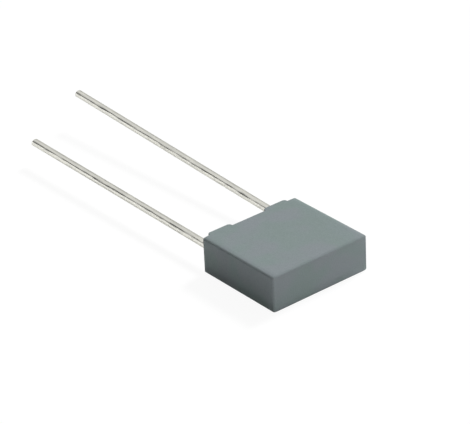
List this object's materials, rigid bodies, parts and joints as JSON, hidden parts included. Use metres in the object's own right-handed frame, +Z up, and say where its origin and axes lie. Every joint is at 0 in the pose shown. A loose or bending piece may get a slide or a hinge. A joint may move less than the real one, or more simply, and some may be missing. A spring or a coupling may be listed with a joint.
{
  "type": "box film capacitor",
  "caption": "Flat moulded-box film capacitor lying on a broad face, with stand-off feet on its resin-filled rim and straight radial wire leads of unequal length.",
  "frame": {"origin": "centre of the broad face that the box lies on", "axes": "+Y the way the leads point, away from the closed end; +X across the leads, towards the long lead; +Z up, through the thickness"},
  "size_m": [0.01, 0.0384, 0.0034],
  "materials": {
    "moulded_plastic": "matte",
    "cast_resin": "satin",
    "metallised_film": "satin",
    "sprayed_metal": "matte",
    "tinned_wire": "satin"
  },
  "bodies": {
    "root": {"housing": "moulded_plastic", "potting": "cast_resin", "winding": "metallised_film", "end_spray_left": "sprayed_metal", "end_spray_right": "sprayed_metal", "lead_short": "tinned_wire", "lead_long": "tinned_wire"}
  },
  "joints": []
}
